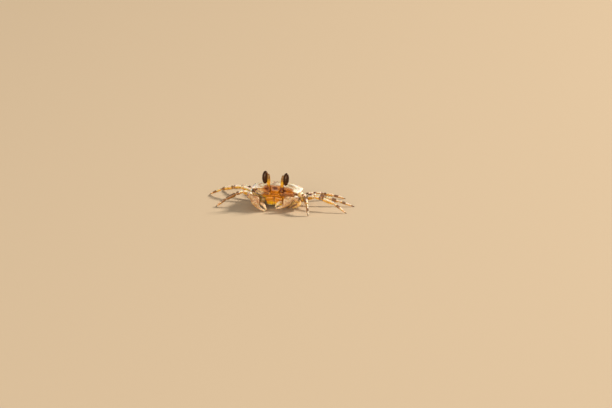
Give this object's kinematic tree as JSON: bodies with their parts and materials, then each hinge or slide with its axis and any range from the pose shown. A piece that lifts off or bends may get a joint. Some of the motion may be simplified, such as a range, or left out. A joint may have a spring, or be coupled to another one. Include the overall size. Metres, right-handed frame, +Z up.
{
  "type": "ghost crab",
  "caption": "Young ghost crab standing on eight legs: domed square carapace, tall stalked eyes, folded tail and two bent claws.",
  "frame": {"origin": "on the floor, under the middle of the box round the whole crab", "axes": "+Z up, -Y the way the crab faces, +X its left side"},
  "size_m": [0.0618, 0.0382, 0.0156],
  "materials": {
    "carapace": "satin, granular shell with brown mottling",
    "belly_shell": "satin, pale smooth shell",
    "mouth_shell": "satin, amber shell",
    "eyestalk": "glossy, yellow to olive",
    "cornea": "wet black-brown gloss",
    "leg_shell": "satin, banded brown, cream and yellow",
    "claw_shell": "satin, tan and purple-brown with pale fingers"
  },
  "bodies": {
    "root": {"breast_plate": "belly_shell", "carapace": "carapace", "claw_left_arm": "claw_shell", "claw_left_finger": "claw_shell", "claw_left_palm": "claw_shell", "claw_left_root": "claw_shell", "claw_left_wrist": "claw_shell", "claw_right_arm": "claw_shell", "claw_right_finger": "claw_shell", "claw_right_palm": "claw_shell", "claw_right_root": "claw_shell", "claw_right_wrist": "claw_shell", "cornea_left": "cornea", "cornea_right": "cornea", "eyestalk_left": "eyestalk", "eyestalk_right": "eyestalk", "leg1_left_hand": "leg_shell", "leg1_left_root": "leg_shell", "leg1_left_thigh": "leg_shell", "leg1_left_toe": "leg_shell", "leg1_left_wrist": "leg_shell", "leg1_right_hand": "leg_shell", "leg1_right_root": "leg_shell", "leg1_right_thigh": "leg_shell", "leg1_right_toe": "leg_shell", "leg1_right_wrist": "leg_shell", "leg2_left_hand": "leg_shell", "leg2_left_root": "leg_shell", "leg2_left_thigh": "leg_shell", "leg2_left_toe": "leg_shell", "leg2_left_wrist": "leg_shell", "leg2_right_hand": "leg_shell", "leg2_right_root": "leg_shell", "leg2_right_thigh": "leg_shell", "leg2_right_toe": "leg_shell", "leg2_right_wrist": "leg_shell", "leg3_left_hand": "leg_shell", "leg3_left_root": "leg_shell", "leg3_left_thigh": "leg_shell", "leg3_left_toe": "leg_shell", "leg3_left_wrist": "leg_shell", "leg3_right_hand": "leg_shell", "leg3_right_root": "leg_shell", "leg3_right_thigh": "leg_shell", "leg3_right_toe": "leg_shell", "leg3_right_wrist": "leg_shell", "leg4_left_hand": "leg_shell", "leg4_left_root": "leg_shell", "leg4_left_thigh": "leg_shell", "leg4_left_toe": "leg_shell", "leg4_left_wrist": "leg_shell", "leg4_right_hand": "leg_shell", "leg4_right_root": "leg_shell", "leg4_right_thigh": "leg_shell", "leg4_right_toe": "leg_shell", "leg4_right_wrist": "leg_shell", "mouth_bar": "mouth_shell", "mouth_plate_left": "mouth_shell", "mouth_plate_right": "mouth_shell", "tail": "belly_shell"}
  },
  "joints": []
}
